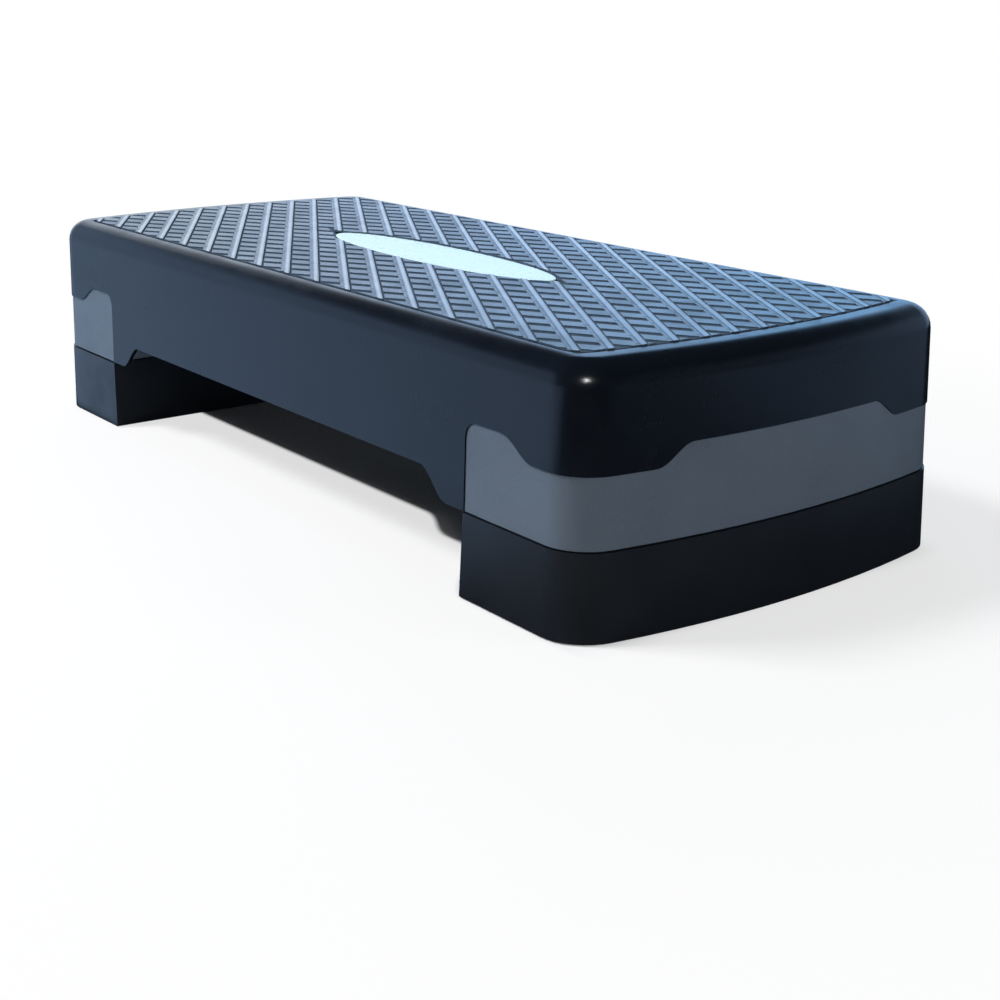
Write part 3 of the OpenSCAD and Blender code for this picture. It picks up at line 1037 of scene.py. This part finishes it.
def reflector_dome(stage):
    """Dome with a pale blue window low at the left and behind, dark overhead and toward the camera."""
    made = bmesh.new()
    bmesh.ops.create_uvsphere(made, u_segments=48, v_segments=24, radius=DOME_RADIUS)
    bmesh.ops.delete(made, geom=[v for v in made.verts if v.co.z < -0.01], context="VERTS")
    mesh = bpy.data.meshes.new("reflector_dome")
    made.to_mesh(mesh)
    made.free()
    f, glow = reflector("reflector_dome", mesh)
    x, y, z = f.axes()
    turn = f.maths("MULTIPLY_ADD", f.maths("ARCTAN2", y, x), 0.5 / math.pi, 0.5)
    window, dark = tuple(stage.window), tuple(stage.dark)
    pale = (window[0] * 1.3, window[1] * 1.02, window[2] * 0.8)
    vivid = (window[0] * 0.72, window[1] * 1.0, window[2] * 1.12)
    stops = [
        (-175, shade(window, 0.55)),
        (-135, shade(window, 0.45)),
        (-105, dark),
        (5, dark),
        (40, shade(window, 0.12)),
        (60, shade(window, 0.3)),
        (100, shade(window, 0.8)),
        (126, vivid),
        (142, window),
        (156, pale),
        (165, pale),
    ]
    ramp = f.node("ShaderNodeValToRGB")
    bands = ramp.color_ramp.elements
    for degrees, rgb in stops:
        band = bands.new(degrees / 360 + 0.5)
        band.color = (*rgb, 1.0)
    bands.remove(bands[0])
    bands.remove(bands[-1])
    f.join(turn, ramp.inputs[0])
    high = f.span(z, *WINDOW_TOP)
    f.join(f.blend(high, ramp.outputs[0], dark), glow.inputs["Color"])
    glow.inputs["Strength"].default_value = stage.window_strength


def reflector_table(stage):
    """Table top as the gloss sees it: pale blue at the left of the front, dimmer behind at the right."""
    turns = [2 * math.pi * k / TABLE_TURNS for k in range(TABLE_TURNS)]
    ring = [(TABLE_RADIUS * math.cos(t), TABLE_RADIUS * math.sin(t), TABLE_HEIGHT) for t in turns]
    mesh = mesh_of("reflector_table", ring, [tuple(range(TABLE_TURNS))], smooth=False)
    f, glow = reflector("reflector_table", mesh)
    x, y, _ = f.axes()
    window = tuple(stage.window)
    lit = f.maths("MULTIPLY", f.span(x, *TABLE_FRONT[0]), f.span(y, *TABLE_FRONT[1]))
    behind = f.maths("MULTIPLY", f.span(x, *TABLE_BACK[0]), f.span(y, *TABLE_BACK[1]))
    dark = f.blend(behind, tuple(stage.dark), shade(window, 0.38))
    f.join(f.blend(lit, dark, shade(window, 0.88)), glow.inputs["Color"])


FLOOR_RADIUS = 9.0
SKY_COLOUR = (0.86, 0.92, 1.0, 1)
FLOOR_COLOUR = (0.88, 0.885, 0.89, 1)
KEY_PLACE, KEY_TARGET = (1.5, -1.31, 1.18), (0.1, -0.05, 0.05)
RIGHT_PLACE, RIGHT_TARGET = (1.6, 1.0, 0.7), (0.3, 0.05, 0.05)

# Name, place, target, size, the setting with its power, tint, and the rays that don't see it
LAMPS = (
    ("front_lamp", (-1.09, -1.56, 2.4), (0, 0, 0.05), (0.9, 0.6), "front_power", (0.99, 0.99, 1.0), "glossy"),
    ("key_lamp", KEY_PLACE, KEY_TARGET, (0.2, 0.2), "key_power", (1.0, 0.99, 0.98), "glossy"),
    ("glint_lamp", KEY_PLACE, KEY_TARGET, (0.26, 0.26), "glint_power", (1.0, 1.0, 1.0), "diffuse"),
    ("right_lamp", RIGHT_PLACE, RIGHT_TARGET, (0.8, 0.8), "right_power", (0.95, 0.98, 1.0), "glossy"),
    ("top_lamp", (0, 0, 2.1), (0, 0, 0), (1.3, 1.3), "top_power", (0.97, 0.99, 1.0), "glossy"),
    ("back_lamp", (-1.3, 1.0, 1.5), (0.05, 0, 0.15), (1.1, 0.7), "back_power", (0.75, 0.88, 1.0), "glossy"),
)


def studio_world(scene, stage):
    """World that is plain white to the camera and a soft, pale sky to the surfaces."""
    world = bpy.data.worlds.new("studio")
    scene.world = world
    world.use_nodes = True
    tree = world.node_tree
    sky = tree.nodes["Background"]
    sky.inputs["Color"].default_value = SKY_COLOUR
    sky.inputs["Strength"].default_value = stage.sky
    white = tree.nodes.new("ShaderNodeBackground")
    white.inputs["Strength"].default_value = 1.0
    white.inputs["Color"].default_value = (1, 1, 1, 1)
    mix = tree.nodes.new("ShaderNodeMixShader")
    tree.links.new(white_to_camera(tree), mix.inputs[0])
    tree.links.new(sky.outputs[0], mix.inputs[1])
    tree.links.new(white.outputs[0], mix.inputs[2])
    tree.links.new(mix.outputs[0], tree.nodes["World Output"].inputs["Surface"])


def studio_floor(scene):
    """Pale floor that turns to the white of the background round the shadow."""
    grid = bmesh.new()
    bmesh.ops.create_circle(grid, cap_ends=True, segments=96, radius=FLOOR_RADIUS)
    mesh = bpy.data.meshes.new("floor")
    grid.to_mesh(mesh)
    grid.free()
    floor = bpy.data.objects.new("floor", mesh)
    scene.collection.objects.link(floor)
    f = Finish("pale_floor")
    socket(f.shader, "Base Color").default_value = FLOOR_COLOUR
    socket(f.shader, "Roughness").default_value = 0.9
    glow = f.node("ShaderNodeEmission")
    mix = f.node("ShaderNodeMixShader")
    f.join(white_to_camera(f.tree, floor_share(f, scene.step_body)), mix.inputs[0])
    f.join(f.shader.outputs[0], mix.inputs[1])
    f.join(glow.outputs[0], mix.inputs[2])
    f.join(mix.outputs[0], f.tree.nodes["Material Output"].inputs["Surface"])
    mesh.materials.append(f.material)


def studio_camera(scene, stage):
    """Camera at the photograph's view."""
    data = bpy.data.cameras.new("camera")
    data.sensor_width = 36.0
    data.lens = stage.lens
    data.clip_start, data.clip_end = 0.01, 50.0
    camera = bpy.data.objects.new("camera", data)
    scene.collection.objects.link(camera)
    yaw, pitch = stage.yaw, stage.pitch
    level = math.cos(pitch)
    forward = Vector((-math.sin(yaw) * level, math.cos(yaw) * level, -math.sin(pitch)))
    right = Vector((math.cos(yaw), math.sin(yaw), 0))
    up = right.cross(forward)
    turn = Matrix((right, up, -forward)).transposed() @ Matrix.Rotation(stage.roll, 3, "Z")
    camera.matrix_world = Matrix.Translation(stage.place) @ turn.to_4x4()
    scene.camera = camera


class STEP_OT_stage(bpy.types.Operator):
    """Adds the world, the pale floor, the lamps, the reflectors and the camera"""

    bl_idname = "step.stage"
    bl_label = "Studio"

    def execute(self, context):
        scene = context.scene
        stage = scene.step_stage
        scene.view_settings.view_transform = "Standard"
        studio_world(scene, stage)
        studio_floor(scene)
        for name, place, target, size, power, tint, unseen in LAMPS:
            lamp = area_lamp(name, place, target, size, getattr(stage, power), tint)
            setattr(lamp, f"visible_{unseen}", False)
        reflector_dome(stage)
        reflector_table(stage)
        studio_camera(scene, stage)
        return {"FINISHED"}


OPERATORS = (
    STEP_OT_deck,
    STEP_OT_tread,
    STEP_OT_badge,
    STEP_OT_end_blocks,
    STEP_OT_foot_risers,
    STEP_OT_block_screws,
    STEP_OT_rubber_pads,
    STEP_OT_stage,
)


class STEP_PT_panel(bpy.types.Panel):
    """Lists the step's pieces in the sidebar"""

    bl_label = "Aerobic step"
    bl_idname = "STEP_PT_panel"
    bl_space_type = "VIEW_3D"
    bl_region_type = "UI"
    bl_category = "Step"

    def draw(self, context):
        for name in GROUPS:
            settings = getattr(context.scene, name)
            box = self.layout.box()
            for key in settings.bl_rna.properties.keys():
                if key not in ("rna_type", "name"):
                    box.prop(settings, key)
        for operator in OPERATORS:
            self.layout.operator(operator.bl_idname)


GROUPS = {
    "step_body": StepBodySettings,
    "step_tread": StepTreadSettings,
    "step_finish": StepFinishSettings,
    "step_stage": StepStageSettings,
}
CLASSES = (*GROUPS.values(), *OPERATORS, STEP_PT_panel)


def register():
    """Registers the classes and gives the scene its groups of settings."""
    for cls in CLASSES:
        bpy.utils.register_class(cls)
    for name, group in GROUPS.items():
        setattr(bpy.types.Scene, name, PointerProperty(type=group))


def unregister():
    """Takes back what register did."""
    for name in GROUPS:
        delattr(bpy.types.Scene, name)
    for cls in reversed(CLASSES):
        bpy.utils.unregister_class(cls)


def main():
    """Builds every piece and the studio."""
    register()
    for operator in OPERATORS:
        group, name = operator.bl_idname.split(".")
        getattr(getattr(bpy.ops, group), name)()


if __name__ == "__main__":
    main()
